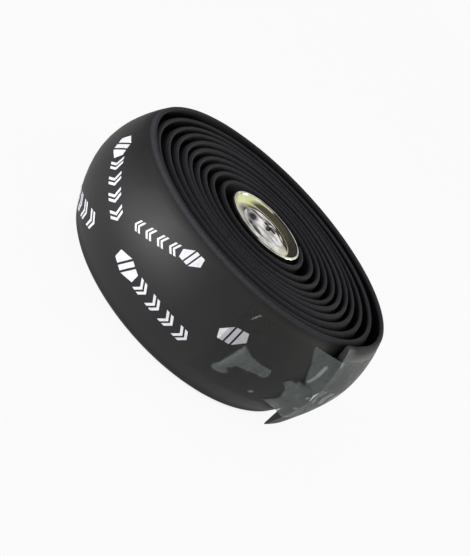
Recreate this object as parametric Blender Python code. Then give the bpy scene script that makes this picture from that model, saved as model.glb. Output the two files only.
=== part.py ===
"""A roll of foam handlebar tape with a plug for the bar's end pushed in its core.

The tape is one strip, thick along its middle and thin at its two borders, wound on
itself from the core outwards. The outer end is cut square. It has sunk into the room
under it, apart from its lower corner, and a strip of clear sticky film holds it. The
roll stands on one end, with +Z along its axis towards the end that shows the plug.
The turns near the core have slid a little towards the floor, so the upper end is
dished and the lower end swells.

Run it with: blender --background --python part.py
"""

import math

import bmesh
import bpy
from mathutils import Vector

# The strip of tape, in metres
TAPE_WIDTH = 0.030
MIDDLE_THICKNESS = 0.00245
EDGE_THICKNESS = 0.0011
TAPER_WIDTH = 0.0078

# How it is wound
TURNS = 10.2
TURN_GAP = 0.00025
EDGE_DROP = 0.0003
CORE_CROWN = 0.0009
CROWN_POWER = 1.85
CORE_SLACK = 0.0020
CORE_SLACK_TURNS = 3.0
OUTER_SLACK = 0.0024
OUTER_SLACK_TURNS = 4.0
STEPS_PER_TURN = 44

# How far the turns have slid along the axis, and over how many turns
OUTER_SLIP = 0.0018
OUTER_SLIP_TURNS = 2.0
CORE_SLIP = 0.00085
CORE_SLIP_FROM_TURN = 4.5
CORE_SLIP_TURNS = 2.5

# The outer end of the tape: where it is cut, and how it lies there
TAIL_DIRECTION_DEG = 45.0
TAIL_LENGTH = 0.030
TAIL_SINK_SHARE = 0.7
CORNER_LIFT = 0.0017
CORNER_LIFT_POWER = 4.0

# The strip of clear film
FILM_FROM_UPPER_BORDER = 0.0035
FILM_FROM_LOWER_BORDER = 0.0055
FILM_THICKNESS = 0.00025
FILM_GAP = 0.0003
FILM_ON_TAIL = 0.048
FILM_BRIDGE = 0.0065
FILM_ON_BODY = 0.0215
FILM_STEPS_PER_TURN = 88
FILM_LEAST_SPACING = 0.0013

# The plug
CAP_RADIUS = 0.0118
CAP_RECESS = 0.0024
CAP_CLEARANCE = 0.0003
RIM_WIDTH = 0.0009
RIM_ROUNDING = 0.00035
DISH_DEPTH = 0.0017
DISH_CURVE_POWER = 1.8
FLANGE_THICKNESS = 0.0008
DISC_RADIUS = 0.0070
DISC_RISE = 0.0011
DISC_EDGE_DROP = 0.0008
DISC_FOOT = 0.0004
DIMPLE_RADIUS = 0.0019
DIMPLE_FLOOR_RADIUS = 0.0011
DIMPLE_DEPTH = 0.0005
PLATE_THICKNESS = 0.0018
CAP_OVERHANG = 0.0032
STEM_WALL = 0.0015
STEM_NECK = 0.0035
BARB_REACH = 0.0018
BARB_PITCH = 0.0040
BARB_COUNT = 3
BARB_LEDGE_SHARE = 0.10
BARB_BAND_SHARE = 0.15
BARB_TAPER_SHARE = 0.50
SLOT_WIDTH = 0.0022
SLOT_STOPS_SHORT = 0.0050
PLUG_SEGMENTS = 44

# Stations across the tape's width, from its lower border to its upper one
WIDTH_STATIONS = (0.0, 0.2, 0.5, 0.8, 1.0)

# Stations up the slope of the cap's dish, from its foot towards the rim
DISH_STATIONS = (0.0, 0.3, 0.6, 0.85)

# How the meshes are finished
SHARP_ANGLE_DEG = 35.0
MERGE_DISTANCE = 1e-6

MIDDLE_PITCH = MIDDLE_THICKNESS + TURN_GAP
EDGE_PITCH = MIDDLE_PITCH - EDGE_DROP
TAIL_DIRECTION = math.radians(TAIL_DIRECTION_DEG)
FULL_SLIP = OUTER_SLIP + CORE_SLIP
ROLL_TOP = TAPE_WIDTH + FULL_SLIP
CAP_HEIGHT = DISH_DEPTH + FLANGE_THICKNESS
STEM_RADIUS = CAP_RADIUS - CAP_OVERHANG
STEM_LENGTH = STEM_NECK + BARB_PITCH * BARB_COUNT
SLOT_LENGTH = STEM_LENGTH - SLOT_STOPS_SHORT


def ease(value):
    """Rise smoothly from 0 to 1 as value goes from 0 to 1."""
    value = min(max(value, 0.0), 1.0)
    return value * value * (3.0 - 2.0 * value)


def dome(across):
    """Share of the crown at a place across the width: 0 at the borders, 1 in the middle."""
    return 1.0 - abs(2.0 * across - 1.0) ** CROWN_POWER


def tape_thickness(across):
    """The tape's thickness at a place across its width."""
    from_border = min(across, 1.0 - across) * TAPE_WIDTH
    filled = ease(0.5 + 0.5 * from_border / TAPER_WIDTH) * 2.0 - 1.0
    return EDGE_THICKNESS + (MIDDLE_THICKNESS - EDGE_THICKNESS) * filled


def seat_flare():
    """How much wider the core's mouth is at the tape's border than where the cap seats."""
    depth = CAP_RECESS + CAP_HEIGHT - FULL_SLIP
    across = 1.0 - max(depth, 0.0) / TAPE_WIDTH
    return tape_thickness(across) - EDGE_THICKNESS - CORE_CROWN * dome(across)


CORE_EDGE_RADIUS = CAP_RADIUS + CAP_CLEARANCE + EDGE_THICKNESS + seat_flare()
OUTER_RADIUS = CORE_EDGE_RADIUS + EDGE_PITCH * TURNS + CORE_SLACK + OUTER_SLACK


def slack(turn):
    """Room that the first turns and the last ones have gained by loose winding."""
    from_core = max(1.0 - (TURNS - turn) / CORE_SLACK_TURNS, 0.0)
    from_outside = max(1.0 - turn / OUTER_SLACK_TURNS, 0.0)
    return CORE_SLACK * (1.0 - from_core ** 2) + OUTER_SLACK * from_outside ** 2


def wound_radius(turn, across):
    """Radius of the tape's outer side as wound, with turns counted from its outer end."""
    wound = TURNS - turn
    border = CORE_EDGE_RADIUS + EDGE_PITCH * wound + slack(turn)
    crown = CORE_CROWN + EDGE_DROP * wound
    return border + crown * dome(across)


def outer_radius(turn, across):
    """Radius of the tape's outer side, where the outer end also sinks and lifts."""
    as_wound = wound_radius(turn, across)
    tail = ease(1.0 - turn * math.tau * OUTER_RADIUS / TAIL_LENGTH)
    room = wound_radius(turn, 0.5) - MIDDLE_THICKNESS - wound_radius(turn + 1.0, 0.5)
    corner = CORNER_LIFT * (1.0 - across) ** CORNER_LIFT_POWER
    return as_wound + tail * (corner - TAIL_SINK_SHARE * room)


def slip(turn):
    """How far this turn has slid towards the floor."""
    near_outside = OUTER_SLIP * ease(turn / OUTER_SLIP_TURNS)
    near_core = CORE_SLIP * ease((turn - CORE_SLIP_FROM_TURN) / CORE_SLIP_TURNS)
    return near_outside + near_core


def height(turn, across):
    """Height above the floor of a place on the tape."""
    return FULL_SLIP - slip(turn) + across * TAPE_WIDTH


def tape_point(turn, across, inset):
    """A point on the tape, inset from its outer side."""
    radius = outer_radius(turn, across) - inset
    angle = TAIL_DIRECTION + math.tau * turn
    return Vector((radius * math.cos(angle), radius * math.sin(angle), height(turn, across)))


def new_object(name, bm, material):
    """Turn a bmesh into a named object with one material."""
    bmesh.ops.recalc_face_normals(bm, faces=bm.faces)
    mesh = bpy.data.meshes.new(name)
    bm.to_mesh(mesh)
    bm.free()
    mesh.materials.append(material)
    mesh.shade_smooth()
    mesh.set_sharp_from_angle(angle=math.radians(SHARP_ANGLE_DEG))
    obj = bpy.data.objects.new(name, mesh)
    bpy.context.scene.collection.objects.link(obj)
    return obj


def new_material(name, colour, roughness, metallic=0.0, alpha=1.0):
    """A Principled material."""
    material = bpy.data.materials.new(name)
    material.use_nodes = True
    shader = material.node_tree.nodes["Principled BSDF"]
    shader.inputs["Base Color"].default_value = (*colour, 1.0)
    shader.inputs["Roughness"].default_value = roughness
    shader.inputs["Metallic"].default_value = metallic
    shader.inputs["Alpha"].default_value = alpha
    return material


def skin_sections(sections):
    """A closed bmesh through sections that all have the same number of points."""
    bm = bmesh.new()
    loops = [[bm.verts.new(point) for point in section] for section in sections]
    count = len(loops[0])
    for near, far in zip(loops, loops[1:]):
        for here in range(count):
            there = (here + 1) % count
            bm.faces.new((near[here], near[there], far[there], far[here]))
    bm.faces.new(loops[0])
    bm.faces.new(reversed(loops[-1]))
    return bm


def build_tape_roll(material):
    """The tape, wound in one piece from its outer end to the core."""
    last = math.ceil(TURNS * STEPS_PER_TURN)
    turns = [step / STEPS_PER_TURN for step in range(last)] + [TURNS]
    sections = []
    for turn in turns:
        outer_side = [tape_point(turn, across, 0.0) for across in WIDTH_STATIONS]
        inner_side = [tape_point(turn, across, tape_thickness(across)) for across in WIDTH_STATIONS]
        sections.append(outer_side + inner_side[::-1])
    return new_object("tape_roll", skin_sections(sections), material)


def film_levels():
    """Heights across the film: its two edges, and the tape's own stations between them."""
    lower = height(0.0, 0.0) + FILM_FROM_LOWER_BORDER
    upper = height(0.0, 1.0) - FILM_FROM_UPPER_BORDER
    lowest = lower + FILM_LEAST_SPACING
    highest = upper - FILM_LEAST_SPACING
    stations = [height(0.0, across) for across in WIDTH_STATIONS]
    return [lower, *[level for level in stations if lowest < level < highest], upper]


def film_path(level):
    """Points along the film's sticky side at one height, from the tape onto the roll below."""
    tail_turns = FILM_ON_TAIL / math.tau / OUTER_RADIUS
    body_turns = FILM_ON_BODY / math.tau / OUTER_RADIUS
    bridge_turns = FILM_BRIDGE / math.tau / OUTER_RADIUS
    tail_steps = math.ceil(tail_turns * FILM_STEPS_PER_TURN)
    body_steps = math.ceil(body_turns * FILM_STEPS_PER_TURN)
    on_tail = [tail_turns * (1.0 - step / tail_steps) for step in range(tail_steps + 1)]
    on_body = [-bridge_turns - body_turns * step / body_steps for step in range(body_steps + 1)]
    points = []
    for place in on_tail + on_body:
        turn = place if place >= 0.0 else place + 1.0
        across = (level - height(turn, 0.0)) / TAPE_WIDTH
        radius = outer_radius(turn, across) + FILM_GAP
        angle = TAIL_DIRECTION + math.tau * place
        points.append(Vector((radius * math.cos(angle), radius * math.sin(angle), level)))
    return points


def film_back(path):
    """The film's outer side: the path moved out by the film's thickness."""
    points = []
    for place, point in enumerate(path):
        before = path[max(place - 1, 0)]
        after = path[min(place + 1, len(path) - 1)]
        along = (after - before).normalized()
        points.append(point + Vector((-along.y, along.x, 0.0)) * FILM_THICKNESS)
    return points


def build_clear_strip(material):
    """The film that holds the tape's end, over the tail and down onto the roll."""
    fronts = [film_path(level) for level in film_levels()]
    backs = [film_back(path) for path in fronts]
    sections = []
    for place in range(len(fronts[0])):
        front = [path[place] for path in fronts]
        back = [path[place] for path in backs]
        sections.append(front + back[::-1])
    return new_object("clear_strip", skin_sections(sections), material)


def rim_corner(side, inwards, top):
    """Three points up a quarter round on the rim, from one side of the rim to its top."""
    points = []
    for angle in (0.0, math.pi / 4.0, math.pi / 2.0):
        in_from_side = RIM_ROUNDING * (1.0 - math.cos(angle))
        down_from_top = RIM_ROUNDING * (1.0 - math.sin(angle))
        points.append((side + inwards * in_from_side, top - down_from_top))
    return points


def cap_profile(top):
    """Radius and height along the plug's face, from its axis to its underside."""
    floor = top - DISH_DEPTH
    disc = floor + DISC_RISE
    dish_foot = DISC_RADIUS + DISC_FOOT
    rim_inside = CAP_RADIUS - RIM_WIDTH
    profile = [(0.0, disc - DIMPLE_DEPTH), (DIMPLE_FLOOR_RADIUS, disc - DIMPLE_DEPTH)]
    for share in (0.0, 0.5, 1.0):
        radius = DIMPLE_RADIUS + share * (DISC_RADIUS - DIMPLE_RADIUS)
        profile.append((radius, disc - DISC_EDGE_DROP * share ** 2))
    for share in DISH_STATIONS:
        radius = dish_foot + share * (rim_inside - dish_foot)
        climb = share ** DISH_CURVE_POWER * (DISH_DEPTH - RIM_ROUNDING)
        profile.append((radius, floor + climb))
    profile += [
        *rim_corner(rim_inside, 1.0, top),
        *reversed(rim_corner(CAP_RADIUS, -1.0, top)),
        (CAP_RADIUS, top - CAP_HEIGHT + RIM_ROUNDING),
        (CAP_RADIUS - RIM_ROUNDING, top - CAP_HEIGHT),
    ]
    return profile


def stem_profile(top):
    """Radius and height down the plug's barbed stem and up its hollow inside."""
    under_cap = top - CAP_HEIGHT
    foot = under_cap - STEM_LENGTH
    ledge = BARB_PITCH * BARB_LEDGE_SHARE
    band = BARB_PITCH * BARB_BAND_SHARE
    taper = BARB_PITCH * BARB_TAPER_SHARE
    profile = [(STEM_RADIUS, under_cap)]
    for barb in range(BARB_COUNT):
        barb_top = foot + BARB_PITCH * (BARB_COUNT - barb)
        profile += [
            (STEM_RADIUS, barb_top),
            (STEM_RADIUS + BARB_REACH, barb_top - ledge),
            (STEM_RADIUS + BARB_REACH, barb_top - ledge - band),
            (STEM_RADIUS, barb_top - ledge - band - taper),
        ]
    ceiling = top - DISH_DEPTH - PLATE_THICKNESS
    profile += [
        (STEM_RADIUS, foot),
        (STEM_RADIUS - STEM_WALL, foot),
        (STEM_RADIUS - STEM_WALL, ceiling),
        (0.0, ceiling),
    ]
    return profile


def build_end_plug(material):
    """The plug: a dished cap with a raised rim, on a hollow stem split into four legs."""
    top = ROLL_TOP - CAP_RECESS
    profile = cap_profile(top) + stem_profile(top)
    bm = bmesh.new()
    verts = [bm.verts.new((radius, 0.0, level)) for radius, level in profile]
    edges = [bm.edges.new(pair) for pair in zip(verts, verts[1:])]
    bmesh.ops.spin(
        bm, geom=verts + edges, cent=(0.0, 0.0, 0.0), axis=(0.0, 0.0, 1.0),
        angle=math.tau, steps=PLUG_SEGMENTS, use_merge=True, use_duplicate=False)
    bmesh.ops.remove_doubles(bm, verts=bm.verts, dist=MERGE_DISTANCE)
    plug = new_object("end_plug", bm, material)
    foot = top - CAP_HEIGHT - STEM_LENGTH
    for turn in range(2):
        cut = plug.modifiers.new(f"slot_{turn}", "BOOLEAN")
        cut.operation = "DIFFERENCE"
        cut.object = slot_cutter(turn, foot)
    return plug


def slot_cutter(turn, foot):
    """A hidden block that cuts one slot right across the stem, open at its foot."""
    right_across = 2.0 * (STEM_RADIUS + BARB_REACH + SLOT_WIDTH)
    bm = bmesh.new()
    bmesh.ops.create_cube(bm, size=1.0)
    size = Vector((right_across, SLOT_WIDTH, 2.0 * SLOT_LENGTH))
    bmesh.ops.scale(bm, vec=size, verts=bm.verts)
    mesh = bpy.data.meshes.new(f"slot_cutter_{turn}")
    bm.to_mesh(mesh)
    bm.free()
    cutter = bpy.data.objects.new(mesh.name, mesh)
    cutter.location.z = foot
    cutter.rotation_euler.z = math.pi / 2.0 * turn + math.pi / PLUG_SEGMENTS
    cutter.hide_render = True
    cutter.display_type = "WIRE"
    bpy.context.scene.collection.objects.link(cutter)
    return cutter


def centre_on_origin(pieces, holder):
    """Move the whole roll so that the middle of its footprint is at the origin."""
    corners = [vert.co for piece in pieces for vert in piece.data.vertices]
    for axis in range(2):
        values = [corner[axis] for corner in corners]
        holder.location[axis] = -(min(values) + max(values)) / 2.0


def main():
    """Clear the file and build the three pieces."""
    for obj in list(bpy.data.objects):
        bpy.data.objects.remove(obj)
    foam = new_material("black_foam", (0.012, 0.012, 0.013), 0.55)
    chrome = new_material("chromed_plastic", (0.78, 0.77, 0.74), 0.08, metallic=1.0)
    film = new_material("clear_film", (0.80, 0.82, 0.82), 0.12, alpha=0.25)
    pieces = [build_tape_roll(foam), build_end_plug(chrome), build_clear_strip(film)]
    holder = bpy.data.objects.new("roll_axis", None)
    bpy.context.scene.collection.objects.link(holder)
    for obj in list(bpy.context.scene.objects):
        if obj is not holder:
            obj.parent = holder
    centre_on_origin(pieces, holder)


main()
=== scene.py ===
"""Looks for a roll of foam handlebar tape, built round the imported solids.

Every length is in metres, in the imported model's own frame: the roll stands on its
lower end and +Z runs up its axis. The tape, the plug and the clear film are modelled
finer than the solids that they stand for, and the printed marks are added. A place
on the roll is given by its turn, counted from the tape's outer end in the direction
that the tape winds inwards, and by its height or its share of the tape's width.
"""

import logging
import math
from dataclasses import dataclass
from enum import Enum
from functools import cached_property

import bmesh
import bpy
from mathutils import Matrix, Quaternion, Vector, noise


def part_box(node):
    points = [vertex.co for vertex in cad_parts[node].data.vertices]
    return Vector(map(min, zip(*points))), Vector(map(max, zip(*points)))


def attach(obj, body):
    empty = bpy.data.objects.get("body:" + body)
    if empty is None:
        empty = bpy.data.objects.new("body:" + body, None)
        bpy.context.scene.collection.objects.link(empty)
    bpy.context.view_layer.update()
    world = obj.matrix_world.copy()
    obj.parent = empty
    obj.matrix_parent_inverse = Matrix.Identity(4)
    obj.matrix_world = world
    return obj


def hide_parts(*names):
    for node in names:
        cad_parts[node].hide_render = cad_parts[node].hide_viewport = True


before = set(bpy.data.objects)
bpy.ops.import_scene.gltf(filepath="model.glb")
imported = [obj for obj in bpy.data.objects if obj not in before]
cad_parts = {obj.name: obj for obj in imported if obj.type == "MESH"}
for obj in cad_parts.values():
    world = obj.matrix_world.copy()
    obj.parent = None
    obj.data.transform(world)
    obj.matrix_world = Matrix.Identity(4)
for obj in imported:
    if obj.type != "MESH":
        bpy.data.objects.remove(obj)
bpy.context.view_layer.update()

MERGE_DISTANCE = 1e-6
BODY = "root"

# Cloudy noise mostly stays in the first of these, and its lower part in the second.
CLOUDS = (0.3, 0.7)
LOW_CLOUDS = (0.3, 0.6)

log = logging.getLogger("handlebar_tape")

Colour = tuple[float, float, float]
Pair = tuple[float, float]
Socket = bpy.types.NodeSocket
Piece = bpy.types.Object
Shape = bmesh.types.BMesh
Feed = float | int | bool | str | tuple[float, ...] | Socket


def ease(value: float) -> float:
    """Rise smoothly from 0 to 1 as the value goes from 0 to 1, and hold there outside it."""
    value = min(max(value, 0.0), 1.0)
    return value * value * (3.0 - 2.0 * value)


def unevenness(place: Vector) -> float:
    """Smooth noise at a place, from about -1 to 1."""
    return noise.noise(place) * 2.0


def read_off(points: tuple[Pair, ...], value: float) -> float:
    """Read a value off a run of straight lines.

    Args:
        points: pairs of place and height, with rising places.
        value: the place to read at.

    Returns:
        The height there, held outside the run.
    """
    if value <= points[0][0]:
        return points[0][1]
    for (start, low), (end, high) in zip(points, points[1:]):
        if value <= end:
            return low + (high - low) * (value - start) / (end - start)
    return points[-1][1]


def distance_to_line(place: Vector, start: Vector, end: Vector) -> float:
    """How far a place is from a straight line between two points.

    Args:
        place: the place, in the plane.
        start: one end of the line.
        end: the other end.

    Returns:
        The distance.
    """
    along = end - start
    share = (place - start).dot(along) / max(along.length_squared, MERGE_DISTANCE ** 2)
    return (place - start - along * min(max(share, 0.0), 1.0)).length


def depth_inside(place: Vector, outline: list[Vector]) -> float:
    """How far inside a closed outline a place lies.

    Args:
        place: the place, in the plane.
        outline: the outline's corners, in order.

    Returns:
        The distance to the outline, below zero where the place is outside it.
    """
    inside = False
    nearest = math.inf
    for start, end in zip(outline, outline[1:] + outline[:1]):
        nearest = min(nearest, distance_to_line(place, start, end))
        if (start.y > place.y) != (end.y > place.y):
            crossing = start.x + (end.x - start.x) * (place.y - start.y) / (end.y - start.y)
            if place.x < crossing:
                inside = not inside
    return nearest if inside else -nearest


class NodeBench:
    """Lays out the nodes of a material or of the world, each fed as it is made."""

    def __init__(self, tree: bpy.types.NodeTree) -> None:
        """Empty the tree, and keep it to be filled."""
        tree.nodes.clear()
        self.tree = tree

    def add(self, kind: str, feeds: dict[str | int, Feed] | None = None,
            **choices: Feed) -> bpy.types.Node:
        """Add one node.

        Args:
            kind: Blender's own name for the kind of node.
            feeds: what each input holds, a plain value or another node's output.
            choices: the node's own options, such as operation.

        Returns:
            The new node.
        """
        node = self.tree.nodes.new(kind)
        for option, choice in choices.items():
            setattr(node, option, choice)
        for socket, feed in (feeds or {}).items():
            if isinstance(feed, Socket):
                self.tree.links.new(feed, node.inputs[socket])
            else:
                node.inputs[socket].default_value = feed
        return node

    def object_place(self) -> Socket:
        """The place on the object, in metres."""
        return self.add("ShaderNodeTexCoord").outputs["Object"]

    def attribute(self, name: str) -> Socket:
        """A number that the mesh carries at each of its points."""
        return self.add("ShaderNodeAttribute", attribute_name=name).outputs["Fac"]

    def clouds(self, place: Socket, size: float, detail: float, roughness: float = 0.5) -> Socket:
        """Cloudy noise, about 0.5 on average, with clouds of a size and so much finer detail."""
        feeds = {"Vector": place, "Scale": 1.0 / size, "Detail": detail, "Roughness": roughness}
        return self.add("ShaderNodeTexNoise", feeds).outputs["Fac"]

    def calculate(self, operation: str, first: Feed, second: Feed = 0.0) -> Socket:
        """One step of arithmetic, by Blender's name for the operation."""
        node = self.add("ShaderNodeMath", {0: first, 1: second}, operation=operation)
        return node.outputs["Value"]

    def spread(self, value: Socket, source: Pair, result: Pair = (0.0, 1.0)) -> Socket:
        """Turn one range of numbers into another, held at its ends.

        Args:
            value: the number to turn.
            source: the range that it is read in.
            result: the range that comes out.

        Returns:
            The turned number.
        """
        feeds = {
            "Value": value,
            "From Min": source[0], "From Max": source[1],
            "To Min": result[0], "To Max": result[1],
        }
        return self.add("ShaderNodeMapRange", feeds, clamp=True).outputs["Result"]

    def tint(self, share: Socket, first: Feed, second: Feed) -> Socket:
        """Mix two colours.

        Args:
            share: how much of the second colour there is.
            first: the first colour.
            second: the second colour.

        Returns:
            The mixed colour.
        """
        colours = [(*c, 1.0) if isinstance(c, tuple) else c for c in (first, second)]
        feeds = {0: share, 6: colours[0], 7: colours[1]}
        return self.add("ShaderNodeMix", feeds, data_type="RGBA").outputs[2]

    def bump(self, height: Socket, depth: float, under: Socket | None = None) -> Socket:
        """Relief too fine for the mesh.

        Args:
            height: the relief, from 0 to 1.
            depth: how deep it is.
            under: the normal of a coarser relief below it, if there is one.

        Returns:
            The normal.
        """
        feeds = {"Height": height, "Distance": depth, "Strength": 1.0}
        if under is not None:
            feeds["Normal"] = under
        return self.add("ShaderNodeBump", feeds).outputs["Normal"]

    def camera_ray(self) -> Socket:
        """Whether the camera looks here, as 1 or 0."""
        return self.add("ShaderNodeLightPath").outputs["Is Camera Ray"]

    def seen_directly(self) -> Socket:
        """Whether the camera, a reflection or a clear surface looks here.

        Returns:
            1 where one of them does, and otherwise 0.
        """
        path = self.add("ShaderNodeLightPath").outputs
        glossy = self.calculate("MAXIMUM", path["Is Camera Ray"], path["Is Glossy Ray"])
        return self.calculate("MAXIMUM", glossy, path["Is Transmission Ray"])

    def principled(self, feeds: dict[str | int, Feed]) -> None:
        """End a material with the one shader that takes these feeds."""
        self.finish_with(self.add("ShaderNodeBsdfPrincipled", feeds), "ShaderNodeOutputMaterial")

    def finish_with(self, shader: bpy.types.Node, target: str) -> None:
        """Feed the last shader to the tree's output node, of the target's kind."""
        self.add(target, {"Surface": shader.outputs[0]})


def mesh_from(name: str, bm: Shape) -> bpy.types.Mesh:
    """Turn a bmesh into a mesh.

    Args:
        name: the mesh's name.
        bm: its shape, which is freed here.

    Returns:
        The mesh.
    """
    mesh = bpy.data.meshes.new(name)
    bm.to_mesh(mesh)
    bm.free()
    return mesh


def points_in(made: dict) -> set[bmesh.types.BMVert]:
    """The points among what an extrusion made."""
    return {item for item in made["geom"] if isinstance(item, bmesh.types.BMVert)}


def put_in_scene(data: bpy.types.ID) -> Piece:
    """Put a mesh, a light or a camera in the scene, at the origin.

    Args:
        data: what the object shows. It lends the object its name.

    Returns:
        The object.
    """
    shown = bpy.data.objects.new(data.name, data)
    bpy.context.scene.collection.objects.link(shown)
    return shown


def new_material(name: str) -> tuple[bpy.types.Material, NodeBench]:
    """Start a material.

    Args:
        name: its name.

    Returns:
        The material and the bench that its nodes are laid out on.
    """
    material = bpy.data.materials.new(name)
    material.use_nodes = True
    return material, NodeBench(material.node_tree)


@dataclass(frozen=True)
class FoamFinish:
    """Black closed-cell foam: a satin skin, and paler borders where the strip was cut open, which also
    paint a highlight line along the crests.
    """

    skin: Colour = (0.0070, 0.0067, 0.0086)
    worn_skin: Colour = (0.0125, 0.0112, 0.0108)
    # The paler border colour: open cells, and a painted highlight line along the crests.
    slit_and_crest_highlight: Colour = (0.0500, 0.0485, 0.0600)
    skin_roughness: Pair = (0.50, 0.58)
    slit_roughness: float = 0.90
    specular: float = 0.42
    patch_span: Pair = (0.35, 0.7)
    edge_span: Pair = (0.72, 1.0)
    slit_and_crest_grain: Pair = (0.55, 1.0)
    patch_size: float = 0.011
    grain_size: float = 0.00055
    cell_size: float = 0.00035
    grain_depth: float = 0.000022
    cell_depth: float = 0.00003

    def material(self) -> bpy.types.Material:
        """Mix the finish.

        Returns:
            The material. It reads the mesh's own border values.
        """
        material, bench = new_material("black_foam_skin")
        place = bench.object_place()
        patches = bench.clouds(place, self.patch_size, 4.0)
        grain = bench.clouds(place, self.grain_size, 3.0, 0.6)
        border = bench.attribute("border")
        skin = bench.tint(bench.spread(patches, self.patch_span), self.skin, self.worn_skin)
        edge = bench.spread(border, self.edge_span)
        # A grainy line of the paler colour along the very border: open cells and a painted crest
        # highlight.
        slit_and_crest_mask = bench.calculate("MULTIPLY", edge, bench.spread(grain, LOW_CLOUDS, self.slit_and_crest_grain))
        cells = bench.add("ShaderNodeTexVoronoi", {"Vector": place, "Scale": 1.0 / self.cell_size})
        pores = bench.calculate("MULTIPLY", cells.outputs["Distance"], border)
        relief = bench.bump(grain, self.grain_depth)
        satin = bench.spread(patches, CLOUDS, self.skin_roughness)
        duller = bench.calculate("SUBTRACT", self.slit_roughness, satin)
        bench.principled({
            "Base Color": bench.tint(slit_and_crest_mask, skin, self.slit_and_crest_highlight),
            "Roughness": bench.calculate("ADD", satin, bench.calculate("MULTIPLY", border, duller)),
            "Specular IOR Level": self.specular,
            "Normal": bench.bump(pores, self.cell_depth, relief),
        })
        return material


@dataclass(frozen=True)
class InkFinish:
    """White ink, printed a little unevenly."""

    fresh: Colour = (0.80, 0.80, 0.84)
    thin: Colour = (0.64, 0.64, 0.68)
    thin_span: Pair = (0.5, 0.8)
    roughness: Pair = (0.38, 0.55)
    specular: float = 0.4
    patch_size: float = 0.0011

    def material(self) -> bpy.types.Material:
        """Mix the finish.

        Returns:
            The material.
        """
        material, bench = new_material("white_print")
        patches = bench.clouds(bench.object_place(), self.patch_size, 4.0, 0.6)
        bench.principled({
            "Base Color": bench.tint(bench.spread(patches, self.thin_span), self.fresh, self.thin),
            "Roughness": bench.spread(patches, CLOUDS, self.roughness),
            "Specular IOR Level": self.specular,
        })
        return material


@dataclass(frozen=True)
class ChromeFinish:
    """Bright plating on moulded plastic, with painted dark reflections in patches, a painted olive
    reflection in its groove and painted shade in its dimple.
    """

    plating: Colour = (0.82, 0.81, 0.78)
    # Painted dark reflections, in patches.
    dark_reflection: Colour = (0.40, 0.39, 0.37)
    # Painted olive reflection in the groove.
    olive_reflection_tint: Colour = (0.72, 0.67, 0.42)
    # Painted shade in the dimple.
    dimple_shade: Colour = (0.035, 0.030, 0.030)
    polish: Pair = (0.06, 0.16)
    polish_span: Pair = (0.35, 0.7)
    dimple_roughness: float = 0.45
    dimple_span: Pair = (0.2, 1.0)
    dark_reflection_span: Pair = (0.42, 0.62)
    olive_reflection: Pair = (0.6, 1.0)
    patch_size: float = 0.0035
    scratch_size: float = 0.0005
    scratch_depth: float = 0.000002

    def material(self) -> bpy.types.Material:
        """Mix the finish.

        Returns:
            The material. It reads the mesh's own groove and dimple values.
        """
        material, bench = new_material("bright_plating")
        place = bench.object_place()
        patches = bench.clouds(place, self.patch_size, 3.0)
        scratches = bench.clouds(place, self.scratch_size, 4.0, 0.7)
        groove = bench.attribute("groove")
        dimple = bench.attribute("dimple")
        # Patches of the darker colour are painted dark reflections on the plating.
        plated = bench.tint(bench.spread(patches, self.dark_reflection_span), self.plating, self.dark_reflection)
        # Patches of olive tint in the groove paint an olive reflection there.
        olive_reflection = bench.calculate("MULTIPLY", groove, bench.spread(patches, LOW_CLOUDS, self.olive_reflection))
        polished = bench.spread(patches, self.polish_span, self.polish)
        dimple_rough = bench.spread(dimple, self.dimple_span, (0.0, self.dimple_roughness))
        bench.principled({
            # The dimple is painted nearly black, as painted shade.
            "Base Color": bench.tint(dimple, bench.tint(olive_reflection, plated, self.olive_reflection_tint), self.dimple_shade),
            "Metallic": 1.0,
            "Roughness": bench.calculate("MAXIMUM", polished, dimple_rough),
            "Normal": bench.bump(scratches, self.scratch_depth),
        })
        return material


@dataclass(frozen=True)
class FilmFinish:
    """Clear glossy film: nearly unseen where it sticks, and milky where air is under it. Where its haze is
    fullest it turns nearly white, for creases and for painted glints.
    """

    stuck: Colour = (0.030, 0.032, 0.031)
    loose: Colour = (0.250, 0.282, 0.270)
    crease_and_glint: Colour = (0.66, 0.70, 0.70)
    loose_span: Pair = (0.0, 0.6)
    crease_and_glint_span: Pair = (0.75, 1.0)
    rough_span: Pair = (0.1, 0.5)
    roughness: Pair = (0.48, 0.24)
    opacity: Pair = (0.14, 0.82)
    specular: float = 0.35
    wrinkle_size: float = 0.0040
    wrinkle_depth: float = 0.00004

    def material(self) -> bpy.types.Material:
        """Mix the finish.

        Returns:
            The material. It reads the mesh's own haze values.
        """
        material, bench = new_material("clear_sticky_film")
        place = bench.object_place()
        wrinkles = bench.clouds(place, self.wrinkle_size, 1.0, 0.4)
        haze = bench.attribute("haze")
        milky = bench.tint(bench.spread(haze, self.loose_span), self.stuck, self.loose)
        bench.principled({
            # The fullest haze turns nearly white: creases, and the painted glints and streak.
            "Base Color": bench.tint(bench.spread(haze, self.crease_and_glint_span), milky, self.crease_and_glint),
            "Roughness": bench.spread(haze, self.rough_span, self.roughness),
            "Specular IOR Level": self.specular,
            "Alpha": bench.spread(haze, (0.0, 1.0), self.opacity),
            "Normal": bench.bump(wrinkles, self.wrinkle_depth),
        })
        return material


def add_piece(name: str, bm: Shape, material: bpy.types.Material, sharp_deg: float) -> Piece:
    """Turn a bmesh, its faces outwards, into a finished piece that rides on the roll's body.

    Args:
        name: the piece's name.
        bm: its shape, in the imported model's frame. It is freed here.
        material: its finish.
        sharp_deg: edges that turn by more than this stay crisp.

    Returns:
        The new object, at the origin.
    """
    bmesh.ops.recalc_face_normals(bm, faces=bm.faces)
    mesh = mesh_from(name, bm)
    mesh.materials.append(material)
    mesh.shade_smooth()
    mesh.set_sharp_from_angle(angle=math.radians(sharp_deg))
    piece = put_in_scene(mesh)
    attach(piece, BODY)
    triangles = sum(len(face.vertices) - 2 for face in mesh.polygons)
    log.info("%s: %d triangles", name, triangles)
    return piece


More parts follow.
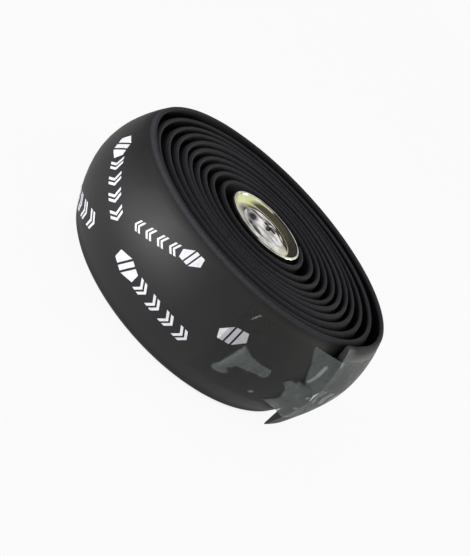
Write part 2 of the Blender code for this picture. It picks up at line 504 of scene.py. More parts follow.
@dataclass(frozen=True)
class Winding:
    """How the strip of tape is wound, and so where each place on it lies.

    Across runs from 0 at the strip's lower border to 1 at its upper one.
    """

    pole: Vector
    cap_radius: float
    cap_underside: float
    cap_clearance: float = 0.0003
    tape_width: float = 0.030
    middle_thickness: float = 0.00245
    edge_thickness: float = 0.0011
    taper_width: float = 0.0078
    turns: float = 10.2
    turn_gap: float = 0.00025
    edge_drop: float = 0.0003
    core_crown: float = 0.0009
    crown_power: float = 1.85
    core_slack: float = 0.0020
    core_slack_turns: float = 3.0
    outer_slack: float = 0.0024
    outer_slack_turns: float = 4.0
    bulge: float = 0.0008
    bulge_lean: float = 0.0011
    bulge_turn: float = 0.63
    bulge_reach: float = 0.17
    outer_slip: float = 0.0018
    outer_slip_turns: float = 2.0
    core_slip: float = 0.00085
    core_slip_from_turn: float = 4.5
    core_slip_turns: float = 2.5
    cut_direction_deg: float = 45.0
    tail_length: float = 0.030
    tail_sink_share: float = 0.7
    corner_lift: float = 0.0017
    corner_lift_power: float = 4.0
    wavers_per_turn: float = 5.0
    border_waver: float = 0.00022
    border_seed: float = 7.3
    border_power: int = 6
    slip_waver: float = 0.00016
    slip_seed: float = 2.1
    slip_waver_from_turn: float = 1.0
    slip_waver_fade_in: float = 0.5
    slip_waver_fade_out: float = 2.0

    @property
    def full_slip(self) -> float:
        """How far the turns at the core have slid towards the floor."""
        return self.outer_slip + self.core_slip

    @cached_property
    def edge_pitch(self) -> float:
        """How far each turn stands out from the next one at its borders."""
        return self.middle_thickness + self.turn_gap - self.edge_drop

    @cached_property
    def core_edge_radius(self) -> float:
        """Radius of the innermost turn at its borders, where its mouth clears the plug's cap."""
        across = self.cap_underside / self.tape_width
        flare = self.thickness(across) - self.edge_thickness - self.core_crown * self.dome(across)
        return self.cap_radius + self.cap_clearance + self.edge_thickness + flare

    @cached_property
    def outer_edge_radius(self) -> float:
        """Radius of the outermost turn at its borders."""
        return self.core_edge_radius + self.edge_pitch * self.turns + self.core_slack + self.outer_slack

    def dome(self, across: float) -> float:
        """Share of the strip's crown at a place across it, 0 at its borders."""
        return 1.0 - abs(2.0 * across - 1.0) ** self.crown_power

    def thickness(self, across: float) -> float:
        """The strip's thickness.

        Args:
            across: the place across the strip.

        Returns:
            The thickness there.
        """
        from_border = min(across, 1.0 - across) * self.tape_width
        filled = ease(0.5 + 0.5 * from_border / self.taper_width) * 2.0 - 1.0
        return self.edge_thickness + (self.middle_thickness - self.edge_thickness) * filled

    def slack(self, turn: float) -> float:
        """Room that the first turns and the last ones have gained by loose winding.

        Args:
            turn: turns from the outer end.

        Returns:
            The extra radius.
        """
        from_core = max(1.0 - (self.turns - turn) / self.core_slack_turns, 0.0)
        from_outside = max(1.0 - turn / self.outer_slack_turns, 0.0)
        return self.core_slack * (1.0 - from_core ** 2) + self.outer_slack * from_outside ** 2

    def wound_radius(self, turn: float, across: float) -> float:
        """Radius of the strip's outer side as it was wound.

        Args:
            turn: turns from the outer end.
            across: the place across the strip.

        Returns:
            The radius.
        """
        wound = self.turns - turn
        border = self.core_edge_radius + self.edge_pitch * wound + self.slack(turn)
        return border + (self.core_crown + self.edge_drop * wound) * self.dome(across)

    def outer_radius(self, turn: float, across: float) -> float:
        """Radius of the strip's outer side, with its sunken tail, its bulge and its wavering borders.

        Args:
            turn: turns from the outer end.
            across: the place across the strip.

        Returns:
            The radius.
        """
        tail = ease(1.0 - turn * math.tau * self.outer_edge_radius / self.tail_length)
        inner = self.wound_radius(turn + 1.0, 0.5)
        room = self.wound_radius(turn, 0.5) - self.middle_thickness - inner
        corner = self.corner_lift * (1.0 - across) ** self.corner_lift_power
        near_border = abs(2.0 * across - 1.0) ** self.border_power
        waver = self.border_waver * self.waver(turn, self.border_seed) * near_border * ease(turn)
        bulging = ease(1.0 - abs(turn - self.bulge_turn) / self.bulge_reach)
        lean = self.bulge_lean * max(across, 0.0) ** self.border_power
        bulge = bulging * (self.bulge * self.dome(across) - lean)
        sunken = tail * (corner - self.tail_sink_share * room)
        return self.wound_radius(turn, across) + sunken + waver + bulge

    def waver(self, turn: float, seed: float) -> float:
        """A slow uneven change along the strip, from about -1 to 1. The seed picks which."""
        return unevenness(Vector((turn * self.wavers_per_turn, seed, 0.0)))

    def slip(self, turn: float) -> float:
        """How far a turn has slid towards the floor."""
        near_core = self.core_slip * ease((turn - self.core_slip_from_turn) / self.core_slip_turns)
        return self.outer_slip * ease(turn / self.outer_slip_turns) + near_core

    def height(self, turn: float, across: float) -> float:
        """Height above the floor of a place on the strip.

        Args:
            turn: turns from the outer end.
            across: the place across the strip.

        Returns:
            The height.
        """
        begun = ease((turn - self.slip_waver_from_turn) / self.slip_waver_fade_in)
        left = self.core_slip_from_turn + self.slip_waver_fade_out - turn
        waver = self.slip_waver * self.waver(turn, self.slip_seed) * begun
        waver *= ease(left / self.slip_waver_fade_out)
        return self.full_slip - self.slip(turn) + waver + across * self.tape_width

    def across_at(self, turn: float, level: float) -> float:
        """The place across the strip that lies at a height above the floor."""
        return (level - self.height(turn, 0.0)) / self.tape_width

    def polar(self, turn: float, radius: float, level: float) -> Vector:
        """The point at a turn from the outer end, a radius and a height above the floor."""
        angle = math.radians(self.cut_direction_deg) + math.tau * turn
        return self.pole + Vector((radius * math.cos(angle), radius * math.sin(angle), level))

    def point(self, turn: float, across: float, inset: float) -> Vector:
        """The point at a place on the strip, so deep under its outer side."""
        radius = self.outer_radius(turn, across) - inset
        return self.polar(turn, radius, self.height(turn, across))

    def turns_along(self, length: float) -> float:
        """The share of a turn that a length takes on the roll's outside."""
        return length / (math.tau * (self.outer_edge_radius + self.core_crown))


@dataclass
class TapeRoll:
    """The strip of foam tape, wound from its outer end to the core."""

    winding: Winding
    finish: FoamFinish
    steps_per_turn: int = 128
    face_steps: int = 15
    border_steps: int = 4
    border_rounding: float = 0.00052
    border_fade: float = 0.0030
    end_turn: float = 0.022
    tip_thinning: float = 0.65
    tip_power: int = 8
    sharp_deg: float = 60.0

    def section(self) -> list[Pair]:
        """Go once round the strip's section.

        Returns:
            Pairs of the place across the strip and the share of its thickness from the
            outer side, from the lower border round and back to it.
        """
        rounding = self.border_rounding / self.winding.tape_width
        face = []
        for step in range(self.face_steps + 1):
            even = step / self.face_steps
            crowded = 0.5 - 0.5 * math.cos(math.pi * even)
            face.append(rounding + (1.0 - 2.0 * rounding) * (0.5 * even + 0.5 * crowded))
        outline = [(across, 0.0) for across in face]
        turns = [math.pi * step / self.border_steps for step in range(1, self.border_steps)]
        outline += [(1.0 - rounding + rounding * math.sin(a), 0.5 - 0.5 * math.cos(a)) for a in turns]
        outline += [(across, 1.0) for across in reversed(face)]
        outline += [(rounding - rounding * math.sin(a), 0.5 + 0.5 * math.cos(a)) for a in turns]
        return outline + outline[:1]

    def build(self) -> Piece:
        """Wind the strip.

        Returns:
            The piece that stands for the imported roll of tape.
        """
        outline = self.section()
        along = math.ceil(self.winding.turns * self.steps_per_turn)
        around = len(outline) - 1
        bm = bmesh.new()
        bmesh.ops.create_grid(bm, x_segments=along, y_segments=around, size=0.5)
        border = bm.verts.layers.float.new("border")
        for vert in bm.verts:
            turn = round((vert.co.x + 0.5) * along) / along * self.winding.turns
            across, share = outline[round((vert.co.y + 0.5) * around)]
            from_end = ease(turn / self.end_turn)
            thinned = self.tip_thinning * (1.0 - from_end) * max(1.0 - across, 0.0) ** self.tip_power
            inset = share * self.winding.thickness(across) * (1.0 - thinned)
            from_border = min(across, 1.0 - across) * self.winding.tape_width
            vert[border] = (1.0 - ease(from_border / self.border_fade)) * from_end
            vert.co = self.winding.point(turn, across, inset)
        bmesh.ops.remove_doubles(bm, verts=bm.verts, dist=MERGE_DISTANCE)
        rims = [edge for edge in bm.edges if edge.is_boundary]
        ends = bmesh.ops.holes_fill(bm, edges=rims, sides=0)
        bmesh.ops.triangulate(bm, faces=ends["faces"])
        piece = add_piece("tape_winding", bm, self.finish.material(), self.sharp_deg)
        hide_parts("tape_roll")
        return piece


class Heading(Enum):
    """Which way a row of printed marks runs round the roll, in degrees of turn."""

    INWARDS = 0.0
    OUTWARDS = 180.0


@dataclass(frozen=True)
class MarkRow:
    """A printed row: a hexagon with two slits, then a run of arrowheads.

    It starts at the hexagon's middle, so many degrees round from the tape's cut end
    in the direction that the tape winds inwards, and at a height above the floor.
    """

    degrees: float
    level: float
    slant_deg: float
    heading: Heading = Heading.INWARDS
    size: float = 1.0
    arrows: int = 4


@dataclass
class PrintedMarks:
    """Rows of generic white marks printed on the tape's outer side."""

    winding: Winding
    finish: InkFinish
    hexagon_length: float = 0.0084
    hexagon_height: float = 0.0042
    slit_width: float = 0.00055
    slit_offset: float = 0.0009
    slit_lean: float = 0.50
    arrow_height: float = 0.0036
    arrow_stroke: float = 0.00078
    arrow_gap: float = 0.00135
    arrow_lean: float = 0.70
    first_arrow: float = 0.0062
    arrow_pitch: float = 0.0045
    hidden_pairs: int = 5
    hidden_from_deg: float = 54.0
    hidden_step_deg: float = 35.0
    hidden_shift_deg: float = 26.0
    hidden_high: float = 0.0238
    hidden_high_step: float = 0.0015
    hidden_high_slant_deg: float = -14.0
    hidden_high_slant_step_deg: float = 9.0
    hidden_low: float = 0.0105
    hidden_low_slant_deg: float = 12.0
    hidden_low_slant_step_deg: float = 8.0
    cell: float = 0.0008
    snap: float = 0.00002
    ink_top: float = 0.00004
    ink_thickness: float = 0.00006
    sharp_deg: float = 50.0

    def rows(self) -> list[MarkRow]:
        """Lay out the rows: those that the camera sees, then the rest of the way round.

        Returns:
            Every row on the outer turn.
        """
        seen = [
            MarkRow(245.4, 0.0248, -18.6),
            MarkRow(233.5, 0.0040, 17.0, size=1.18),
            MarkRow(296.6, 0.0270, 20.5, Heading.OUTWARDS, size=0.74),
            MarkRow(284.8, 0.0139, -2.0),
            MarkRow(321.7, 0.0213, 28.0, size=0.92, arrows=0),
            MarkRow(31.5, 0.0145, -10.0, Heading.OUTWARDS, size=1.18),
        ]
        hidden = []
        for step in range(self.hidden_pairs):
            start = self.hidden_from_deg + self.hidden_step_deg * step
            level = self.hidden_high - self.hidden_high_step * (step % 2)
            slant_deg = self.hidden_high_slant_deg + self.hidden_high_slant_step_deg * (step % 3)
            hidden.append(MarkRow(start, level, slant_deg))
            start += self.hidden_shift_deg
            slant_deg = self.hidden_low_slant_deg - self.hidden_low_slant_step_deg * (step % 2)
            hidden.append(MarkRow(start, self.hidden_low, slant_deg, Heading.OUTWARDS))
        return seen + hidden

    def arrow(self, bm: Shape, at: float) -> None:
        """Print one stroke of a double arrowhead, flat.

        Args:
            bm: the flat row that it belongs to.
            at: how far along the row its middle is.
        """
        made = bmesh.ops.create_grid(bm, x_segments=1, y_segments=2, size=0.5)
        for vert in made["verts"]:
            height = vert.co.y * self.arrow_height
            lean = (0.25 * self.arrow_height - abs(height)) * self.arrow_lean
            vert.co = Vector((at + vert.co.x * self.arrow_stroke + lean, height, 0.0))

    def hexagon(self, bm: Shape) -> None:
        """Print the hexagon with its two slits, flat, at the row's start.

        Args:
            bm: the flat row that it belongs to.
        """
        made = bmesh.ops.create_circle(bm, cap_ends=True, segments=6, radius=0.5)
        across_flats = math.cos(math.pi / 6.0)
        size = Vector((self.hexagon_length, self.hexagon_height / across_flats, 1.0))
        bmesh.ops.scale(bm, vec=size, verts=made["verts"])
        normal = Vector((1.0, -self.slit_lean, 0.0)).normalized()
        for side in (-1.0, 1.0):
            for edge in (-0.5, 0.5):
                self.cut(bm, normal * (side * self.slit_offset + edge * self.slit_width), normal)
        places = [(face, abs(face.calc_center_median().dot(normal))) for face in bm.faces]
        slits = [face for face, at in places if abs(at - self.slit_offset) < 0.5 * self.slit_width]
        bmesh.ops.delete(bm, geom=slits, context="FACES")

    def cut(self, bm: Shape, place: Vector, normal: Vector) -> None:
        """Score the flat print along the line through a place, square to a direction."""
        geometry = [*bm.verts, *bm.edges, *bm.faces]
        bmesh.ops.bisect_plane(bm, geom=geometry, dist=self.snap, plane_co=place, plane_no=normal)

    def score(self, bm: Shape) -> None:
        """Score a flat row into cells so small that they follow the roll's curves.

        Args:
            bm: the flat row.
        """
        for axis in (Vector((1.0, 0.0, 0.0)), Vector((0.0, 1.0, 0.0))):
            reach = [vert.co.dot(axis) for vert in bm.verts]
            first = math.ceil(min(reach) / self.cell)
            last = math.floor(max(reach) / self.cell)
            for line in range(first, last + 1):
                self.cut(bm, axis * (line * self.cell), axis)

    def print_row(self, bm: Shape, row: MarkRow) -> None:
        """Print a row and lay it on the roll's outer turn.

        Args:
            bm: the mesh of all the marks.
            row: the row to print.
        """
        flat = bmesh.new()
        self.hexagon(flat)
        for step in range(row.arrows):
            middle = self.first_arrow + self.arrow_pitch * step
            self.arrow(flat, middle - 0.5 * self.arrow_gap)
            self.arrow(flat, middle + 0.5 * self.arrow_gap)
        self.score(flat)
        turned = math.radians(row.slant_deg + row.heading.value)
        bmesh.ops.scale(flat, vec=Vector((row.size, row.size, 1.0)), verts=flat.verts)
        bmesh.ops.rotate(flat, matrix=Matrix.Rotation(turned, 3, "Z"), verts=flat.verts)
        tops = points_in(bmesh.ops.extrude_face_region(flat, geom=list(flat.faces)))
        for vert in flat.verts:
            lift = self.ink_top if vert in tops else self.ink_top - self.ink_thickness
            turn = row.degrees / 360.0 + self.winding.turns_along(vert.co.x)
            across = self.winding.across_at(turn, row.level + vert.co.y)
            vert.co = self.winding.point(turn, across, -lift)
        sheet = mesh_from("row", flat)
        bm.from_mesh(sheet)
        bpy.data.meshes.remove(sheet)

    def build(self) -> Piece:
        """Print every row.

        Returns:
            The piece that holds all the marks.
        """
        bm = bmesh.new()
        for row in self.rows():
            self.print_row(bm, row)
        piece = add_piece("printed_marks", bm, self.finish.material(), self.sharp_deg)
        return piece


@dataclass(frozen=True)
class HazeSpot:
    """A small round or long spot of haze on the film. Most are places where it hasn't stuck; some paint
    glints and a highlight streak.

    Its ends are so many degrees round from the cut end, at a height.
    """

    start: Pair
    end: Pair
    radius: float
    haze: float


@dataclass
class ClearFilm:
    """The strip of clear sticky film that holds the tape's outer end.

    Places on it are given in degrees round from the cut end and heights above the
    floor: where it reaches the roll below, the corners of the large pocket of air, and
    the small spots of haze, which are lifted places and creases, and painted glints and a painted
    highlight streak.
    """

    winding: Winding
    finish: FilmFinish
    bottom: float
    top: float
    on_tail: float = 0.048
    on_body: float = 0.0310
    thickness: float = 0.00008
    rest_gap: float = 0.00007
    cell: float = 0.00036
    pocket_lift: float = 0.00035
    pocket_slope: float = 0.0012
    pocket_edge: float = 0.00035
    stuck_haze: float = 0.06
    tail_haze: float = 0.42
    bridge_haze: float = 0.60
    # Extra haze towards the film's lower edge: painted light on the dimmer lower bridge.
    lower_painted_light_haze: float = 0.16
    pocket_haze: float = 0.62
    cut_haze: float = 0.6
    cut_fade: float = 0.004
    tail_uneven: float = 0.4
    bridge_uneven: float = 0.25
    pocket_uneven: float = 0.3
    spots_per_metre: float = 420.0
    spots_seed: float = 4.0
    sharp_deg: float = 50.0
    reach_deg: tuple[Pair, ...] = (
        (0.0082, 3.0), (0.0092, 7.0), (0.0103, 11.3), (0.0126, 7.3), (0.0157, 9.0),
        (0.0179, 12.8), (0.0190, 11.5), (0.0197, 4.9), (0.0226, 7.5), (0.0253, 9.3),
        (0.0280, 12.1), (0.0292, 12.5),
    )
    pocket_corners: tuple[Pair, ...] = (
        (-34.0, 0.0194), (-33.4, 0.0214), (-29.0, 0.0199), (-24.4, 0.0195), (-20.2, 0.0196),
        (-19.2, 0.0179), (-20.5, 0.0165), (-23.3, 0.0168), (-27.0, 0.0163), (-30.4, 0.0158),
        (-32.0, 0.0138), (-30.2, 0.0133), (-31.3, 0.0119), (-34.8, 0.0115), (-36.2, 0.0123),
        (-35.1, 0.0145), (-34.6, 0.0173),
    )
    haze_spots: tuple[HazeSpot, ...] = (
        # These two paint a highlight streak down the film.
        HazeSpot((-4.2, 0.0262), (-4.3, 0.0237), 0.00052, 1.0),
        HazeSpot((-4.3, 0.0232), (-4.5, 0.0205), 0.00044, 0.95),
        # This one paints a glint at the film's upper edge, just past the cut end.
        HazeSpot((0.5, 0.0287), (0.9, 0.0280), 0.00040, 1.0),
        HazeSpot((-18.6, 0.0113), (-18.2, 0.0114), 0.00055, 0.85),
        HazeSpot((-0.8, 0.0127), (-0.4, 0.0128), 0.00050, 0.9),
        HazeSpot((-1.8, 0.0172), (-1.5, 0.0174), 0.00045, 0.95),
        HazeSpot((-3.6, 0.0110), (-3.4, 0.0108), 0.00040, 0.8),
        # This one paints a glint at the film's far corner.
        HazeSpot((-37.8, 0.0268), (-36.4, 0.0284), 0.00022, 0.9),
    )

    @cached_property
    def pocket(self) -> list[Vector]:
        """The outline of the large pocket of air on the roll below, laid flat."""
        return [self.flat_place(degrees, level) for degrees, level in self.pocket_corners]

    def touchdown(self, level: float) -> float:
        """The share of a turn from the cut end to where the film reaches the roll below."""
        return read_off(self.reach_deg, level) / 360.0

    def flat_place(self, degrees: float, level: float) -> Vector:
        """A place on the film laid flat: metres round from the cut end, and the height."""
        around = self.winding.outer_edge_radius + self.winding.core_crown
        return Vector((math.radians(degrees) * around, level))

    def lie(self, place: float, level: float) -> tuple[Vector, float]:
        """Where a spot of the film lies, and how milky it looks there.

        Args:
            place: turns from the cut end, above zero over the tail.
            level: the height above the floor.

        Returns:
            The point on the film's sticky side, and its haze from 0 to 1.
        """
        turn = place if place >= 0.0 else place + 1.0
        across = self.winding.across_at(turn, level)
        radius = self.winding.outer_radius(turn, across) + self.rest_gap
        here = self.flat_place(place * 360.0, level)
        uneven = noise.noise(Vector((*(here * self.spots_per_metre), self.spots_seed)))
        if place >= 0.0:
            near_cut = 1.0 - ease(here.x / self.cut_fade)
            haze = self.bridge_haze * near_cut * self.cut_haze
            haze += self.tail_haze * (1.0 + self.tail_uneven * uneven)
        else:
            touchdown = self.touchdown(level)
            share = 1.0 + place / touchdown
            haze = self.stuck_haze * (1.0 + uneven)
            if share > 0.0:
                start = self.winding.outer_radius(1.0 - touchdown, across) + self.rest_gap
                end = self.winding.outer_radius(0.0, self.winding.across_at(0.0, level)) + self.rest_gap
                radius = max(radius, start + (end - start) * share)
                edge = share * touchdown / self.winding.turns_along(self.pocket_edge)
                low = 1.0 - (level - self.bottom) / (self.top - self.bottom)
                bridging = self.bridge_haze * (1.0 + self.bridge_uneven * uneven)
                # More haze lower down paints light onto the lower part of the bridging film, which the
                # lamps leave dimmer.
                bridging += self.lower_painted_light_haze * low
                haze += (bridging - haze) * ease(edge)
            depth = depth_inside(here, self.pocket)
            radius += self.pocket_lift * ease(depth / self.pocket_slope)
            airy = self.pocket_haze * (1.0 + self.pocket_uneven * uneven)
            haze += (airy - haze) * ease(depth / self.pocket_edge + 0.5)
        # Spots of haze: lifted places, and painted glints and a painted streak.
        for haze_spot in self.haze_spots:
            line = [self.flat_place(*end) for end in (haze_spot.start, haze_spot.end)]
            near = ease(1.5 - distance_to_line(here, *line) / haze_spot.radius)
            haze += (haze_spot.haze - haze) * near
            radius += 0.5 * self.rest_gap * near
        return self.winding.polar(turn, radius, level), min(max(haze, 0.0), 1.0)

    def build(self) -> Piece:
        """Lay the film over the tail and down onto the roll below.

        Returns:
            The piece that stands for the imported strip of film.
        """
        length = self.on_tail + self.on_body
        columns = round(length / self.cell)
        lines = round((self.top - self.bottom) / self.cell)
        bm = bmesh.new()
        bmesh.ops.create_grid(bm, x_segments=columns, y_segments=lines, size=0.5)
        backs = points_in(bmesh.ops.extrude_face_region(bm, geom=list(bm.faces)))
        haze = bm.verts.layers.float.new("haze")
        for vert in bm.verts:
            place = self.winding.turns_along((vert.co.x + 0.5) * length - self.on_body)
            level = self.bottom + (vert.co.y + 0.5) * (self.top - self.bottom)
            back = vert in backs
            vert.co, vert[haze] = self.lie(place, level)
            if back:
                outward = (vert.co - self.winding.pole) * Vector((1.0, 1.0, 0.0))
                vert.co += outward.normalized() * self.thickness
        piece = add_piece("holding_film", bm, self.finish.material(), self.sharp_deg)
        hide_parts("clear_strip")
        return piece


@dataclass
class EndPlug:
    """The plated plug: a dished cap with a raised rim, on a split and barbed stem."""

    pole: Vector
    cap_radius: float
    top: float
    foot: float
    finish: ChromeFinish
    cap_height: float = 0.0025
    rim_width: float = 0.0009
    rim_rounding: float = 0.00035
    dish_depth: float = 0.0017
    dish_curve_power: float = 1.8
    disc_radius: float = 0.0070
    disc_rise: float = 0.0011
    disc_drop: float = 0.0008
    wall_foot: float = 0.0090
    wall_steps: int = 10
    bead_height: float = 0.00016
    bead_from: float = 0.90
    bead_width: float = 0.07
    dimple_place: Vector = Vector((-0.0011, 0.0011, 0.0))
    dimple_radius: float = 0.0019
    dimple_depth: float = 0.0006
    dimple_steepness: float = 1.6
    dimple_arms: int = 4
    dimple_arm_reach: float = 0.9
    dimple_turn_deg: float = 12.0
    plate_thickness: float = 0.0018
    stem_radius: float = 0.0086
    stem_wall: float = 0.0015
    barb_reach: float = 0.0018
    barb_pitch: float = 0.0040
    barb_count: int = 3
    barb_ledge: float = 0.10
    barb_band: float = 0.25
    barb_taper: float = 0.75
    slot_width: float = 0.0022
    slot_length: float = 0.0105
    dent_depth: float = 0.00022
    dent_size: float = 0.0034
    dent_fade: float = 0.0010
    segments: int = 144
    rings: int = 24
    sharp_deg: float = 42.0

    def arc(self, centre: Pair, radius: float, start_deg: float, end_deg: float, steps: int) -> list[Pair]:
        """Points along part of a circle.

        Args:
            centre: its middle, as distance from the axis and height.
            radius: its radius.
            start_deg: the first direction, with 0 away from the axis and 90 up.
            end_deg: the last direction.
            steps: how many straight steps it is drawn with.

        Returns:
            The points, both ends included.
        """
        points = []
        for step in range(steps + 1):
            angle = math.radians(start_deg + (end_deg - start_deg) * step / steps)
            points.append((centre[0] + radius * math.cos(angle), centre[1] + radius * math.sin(angle)))
        return points

    def cap_profile(self) -> list[Pair]:
        """The cap's face from the axis out to its rim and under it.

        Returns:
            Pairs of distance from the axis and height above the floor.
        """
        floor = self.top - self.dish_depth
        inside = self.cap_radius - self.rim_width
        rounding = self.rim_rounding
        foot = self.wall_foot
        profile = []
        for ring in range(self.rings + 1):
            share = ring / self.rings
            bead = self.bead_height * ease((share - self.bead_from) / self.bead_width)
            level = floor + self.disc_rise - self.disc_drop * share ** 2 + bead
            profile.append((self.disc_radius * share, level))
        for step in range(self.wall_steps + 1):
            share = step / self.wall_steps
            climb = share ** self.dish_curve_power * (self.dish_depth - rounding)
            profile.append((foot + share * (inside - foot), floor + climb))
        profile += self.arc((inside + rounding, self.top - rounding), rounding, 150.0, 90.0, 4)
        profile += self.arc((self.cap_radius - rounding, self.top - rounding), rounding, 90.0, 0.0, 5)
        under = self.top - self.cap_height
        profile += self.arc((self.cap_radius - rounding, under + rounding), rounding, 0.0, -90.0, 4)
        return profile

    def stem_profile(self) -> list[Pair]:
        """Down the barbed stem and up its hollow inside.

        Returns:
            Pairs of distance from the axis and height above the floor.
        """
        profile = [(self.stem_radius, self.top - self.cap_height)]
        reach = self.stem_radius + self.barb_reach
        for barb in range(self.barb_count):
            barb_top = self.foot + self.barb_pitch * (self.barb_count - barb)
            profile += [
                (self.stem_radius, barb_top),
                (reach, barb_top - self.barb_ledge * self.barb_pitch),
                (reach, barb_top - self.barb_band * self.barb_pitch),
                (self.stem_radius, barb_top - self.barb_taper * self.barb_pitch),
            ]
        inside = self.stem_radius - self.stem_wall
        ceiling = self.top - self.dish_depth - self.plate_thickness
        profile += [(self.stem_radius, self.foot), (inside, self.foot), (inside, ceiling), (0.0, ceiling)]
        return profile

    def slot_cutter(self, quarter: int) -> Piece:
        """A block that cuts one slot across the stem.

        Args:
            quarter: 0 or 1, for the slot and the one that crosses it.

        Returns:
            The cutter.
        """
        bm = bmesh.new()
        across = 2.0 * (self.stem_radius + self.barb_reach + self.slot_width)
        bmesh.ops.create_cube(bm, size=1.0)
        bmesh.ops.scale(bm, vec=Vector((across, self.slot_width, 2.0 * self.slot_length)), verts=bm.verts)
        turn = Matrix.Rotation(math.pi / 2.0 * quarter, 3, "Z")
        bmesh.ops.rotate(bm, matrix=turn, verts=bm.verts)
        bmesh.ops.translate(bm, vec=self.pole + Vector((0.0, 0.0, self.foot)), verts=bm.verts)
        return put_in_scene(mesh_from(f"slot_{quarter}", bm))

    def dent(self, bm: Shape) -> None:
        """Press the dimple, make the disc slightly uneven, and mark the slope round it.

        Args:
            bm: the spun plug, about the frame's own axis.
        """
        groove = bm.verts.layers.float.new("groove")
        dimple = bm.verts.layers.float.new("dimple")
        floor = self.top - self.dish_depth
        inside = self.cap_radius - self.rim_width
        for vert in bm.verts:
            if vert.co.z < floor - MERGE_DISTANCE:
                continue
            radius = vert.co.to_2d().length
            spot = vert.co - self.dimple_place
            angle = math.atan2(spot.y, spot.x) + math.radians(self.dimple_turn_deg)
            star = 1.0 + self.dimple_arm_reach * (abs(math.cos(self.dimple_arms / 2.0 * angle)) ** 2 - 0.5)
            out = spot.to_2d().length / (self.dimple_radius * star)
            pressed = ease(self.dimple_steepness * (1.0 - out))
            vert.co.z -= self.dimple_depth * pressed
            # The dimple value marks where the finish paints shade.
            vert[dimple] = ease(2.0 * pressed)
            on_disc = ease((self.disc_radius - radius) / self.dent_fade)
            vert.co.z += self.dent_depth * on_disc * unevenness(vert.co / self.dent_size)
            # The groove value marks where the finish paints an olive reflection.
            in_groove = self.disc_radius + MERGE_DISTANCE < radius < inside + MERGE_DISTANCE
            vert[groove] = 1.0 if in_groove else 0.0

    def build(self) -> Piece:
        """Turn the plug, dent its disc and cut its slots.

        Returns:
            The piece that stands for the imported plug.
        """
        bm = bmesh.new()
        verts = [bm.verts.new((r, 0.0, level)) for r, level in self.cap_profile() + self.stem_profile()]
        edges = [bm.edges.new(pair) for pair in zip(verts, verts[1:])]
        bmesh.ops.spin(
            bm, geom=verts + edges, cent=(0.0, 0.0, 0.0), axis=(0.0, 0.0, 1.0),
            angle=math.tau, steps=self.segments, use_merge=True, use_duplicate=False)
        bmesh.ops.remove_doubles(bm, verts=bm.verts, dist=MERGE_DISTANCE)
        self.dent(bm)
        bmesh.ops.translate(bm, vec=self.pole, verts=bm.verts)
        piece = add_piece("bar_plug", bm, self.finish.material(), self.sharp_deg)
        cutters = [self.slot_cutter(quarter) for quarter in range(2)]
        for cutter in cutters:
            cut = piece.modifiers.new(cutter.name, "BOOLEAN")
            cut.operation = "DIFFERENCE"
            cut.object = cutter
        settled = piece.evaluated_get(bpy.context.evaluated_depsgraph_get())
        shaped = bpy.data.meshes.new_from_object(settled)
        piece.modifiers.clear()
        piece.data = shaped
        shaped.set_sharp_from_angle(angle=math.radians(self.sharp_deg))
        for cutter in cutters:
            bpy.data.objects.remove(cutter)
        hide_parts("end_plug")
        return piece


@dataclass(frozen=True)
class Lamp:
    """A flat soft lamp that faces the roll."""

    name: str
    place: Vector
    size: Pair
    watts: float


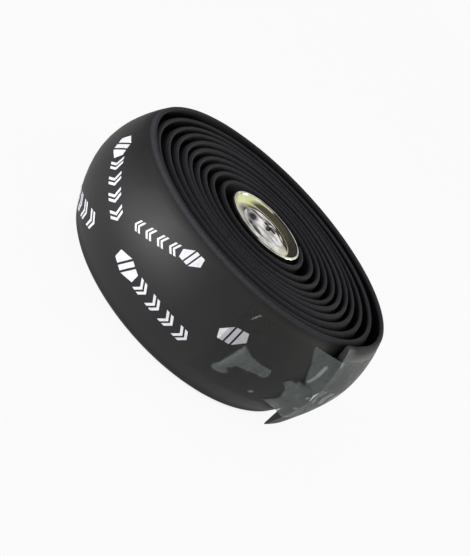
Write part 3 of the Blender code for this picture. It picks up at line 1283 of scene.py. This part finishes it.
@dataclass
class Studio:
    """A white floor, plain soft lamps and the camera at the photograph's angle."""

    aim: Vector = Vector((0.00807, 0.00194, 0.016))
    eye: Vector = Vector((0.18555, -0.03562, 0.09574))
    roll_deg: float = 47.5
    lens: float = 49.24
    floor_size: float = 40.0
    floor_white: Colour = (0.80, 0.80, 0.80)
    shown_white: float = 0.93
    reflected_white: float = 0.60
    backdrop_white: float = 0.959
    foot_span: Pair = (0.030, 0.038)
    ambient: float = 0.45
    walls: Colour = (0.42, 0.42, 0.43)
    bright_span: Pair = (0.10, 0.45)
    doorway: Colour = (0.05, 0.05, 0.055)
    doorway_span: Pair = (-0.04, 0.12)
    garden: Colour = (0.92, 1.0, 0.80)
    garden_span: Pair = (0.33, 0.42)
    ceiling: Colour = (0.090, 0.090, 0.094)
    ceiling_span: Pair = (0.66, 0.84)
    lamps: tuple[Lamp, ...] = (
        Lamp("left_window", Vector((0.24, -0.29, 0.03)), (0.22, 0.05), 1.10),
        Lamp("right_window", Vector((-0.12, 0.42, 0.08)), (0.20, 0.10), 0.5),
    )

    def lay_floor(self) -> None:
        """Lay the floor that the roll stands on. It stays dark under the roll."""
        bm = bmesh.new()
        bmesh.ops.create_grid(bm, x_segments=1, y_segments=1, size=self.floor_size / 2.0)
        mesh = mesh_from("floor", bm)
        material, bench = new_material("white_floor")
        lit = bench.add("ShaderNodeBsdfDiffuse", {"Color": (*self.floor_white, 1.0)})
        shown = bench.add("ShaderNodeEmission", {"Strength": 1.0})
        camera = bench.camera_ray()
        white = bench.spread(camera, (0.0, 1.0), (self.reflected_white, self.shown_white))
        feeds = {0: bench.object_place()}
        away = bench.add("ShaderNodeVectorMath", feeds, operation="LENGTH").outputs["Value"]
        white = bench.calculate("MULTIPLY", white, bench.spread(away, self.foot_span))
        share = bench.calculate("MULTIPLY", bench.seen_directly(), white)
        feeds = {0: share, 1: lit.outputs[0], 2: shown.outputs[0]}
        bench.finish_with(bench.add("ShaderNodeMixShader", feeds), "ShaderNodeOutputMaterial")
        mesh.materials.append(material)
        put_in_scene(mesh)

    def fill_world(self) -> None:
        """Make the world: even soft light, a white backdrop, and a room for the reflections."""
        world = bpy.data.worlds.new("studio")
        bpy.context.scene.world = world
        world.use_nodes = True
        bench = NodeBench(world.node_tree)
        direction = bench.add("ShaderNodeTexCoord").outputs["Generated"]
        split = bench.add("ShaderNodeSeparateXYZ", {"Vector": direction}).outputs
        up, right = split["Z"], split["Y"]
        overhead = bench.spread(up, self.ceiling_span)
        brighter = bench.spread(up, self.bright_span)
        walls = bench.tint(brighter, self.walls, (1.0, 1.0, 1.0))
        dark_side = bench.spread(right, self.doorway_span, (1.0, 0.0))
        green_side = bench.spread(right, self.garden_span)
        sides = bench.tint(green_side, bench.tint(dark_side, walls, self.doorway), self.garden)
        room = bench.tint(overhead, sides, self.ceiling)
        camera = bench.camera_ray()
        backdrop = bench.tint(camera, room, (self.backdrop_white,) * 3)
        shown = bench.add("ShaderNodeBackground", {"Color": backdrop, "Strength": 1.0})
        even = bench.add("ShaderNodeBackground", {"Color": (1.0, 1.0, 1.0, 1.0), "Strength": self.ambient})
        feeds = {0: bench.seen_directly(), 1: even.outputs[0], 2: shown.outputs[0]}
        bench.finish_with(bench.add("ShaderNodeMixShader", feeds), "ShaderNodeOutputWorld")

    def hang_lamps(self) -> None:
        """Hang each lamp and turn it to the roll."""
        for lamp in self.lamps:
            light = bpy.data.lights.new(lamp.name, "AREA")
            light.shape = "RECTANGLE"
            light.size, light.size_y = lamp.size
            light.energy = lamp.watts
            hung = put_in_scene(light)
            hung.location = lamp.place
            hung.rotation_mode = "QUATERNION"
            hung.rotation_quaternion = (self.aim - lamp.place).to_track_quat("-Z", "Y")

    def set_camera(self) -> None:
        """Put the camera where the photograph was taken from."""
        camera = put_in_scene(bpy.data.cameras.new("camera"))
        camera.data.lens = self.lens
        camera.data.clip_start = 0.01
        camera.location = self.eye
        camera.rotation_mode = "QUATERNION"
        level = (self.aim - self.eye).to_track_quat("-Z", "Y")
        camera.rotation_quaternion = level @ Quaternion((0.0, 0.0, 1.0), math.radians(self.roll_deg))
        bpy.context.scene.camera = camera

    def build(self) -> None:
        """Set the whole studio up."""
        self.lay_floor()
        self.fill_world()
        self.hang_lamps()
        self.set_camera()
        bpy.context.scene.view_settings.view_transform = "Standard"
        log.info("studio: floor, world, %d lamps and camera", len(self.lamps))


def main() -> None:
    """Build the roll and its studio."""
    logging.basicConfig(level=logging.INFO, format="%(message)s")
    plug_low, plug_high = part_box("end_plug")
    film_low, film_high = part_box("clear_strip")
    pole = Vector(((plug_low.x + plug_high.x) / 2.0, (plug_low.y + plug_high.y) / 2.0, 0.0))
    cap_radius = (plug_high.x - plug_low.x) / 2.0
    plug = EndPlug(pole, cap_radius, plug_high.z, plug_low.z, ChromeFinish())
    winding = Winding(pole, cap_radius, plug_high.z - plug.cap_height)
    Studio().build()
    TapeRoll(winding, FoamFinish()).build()
    PrintedMarks(winding, InkFinish()).build()
    ClearFilm(winding, FilmFinish(), film_low.z, film_high.z).build()
    plug.build()


if __name__ == "__main__":
    main()
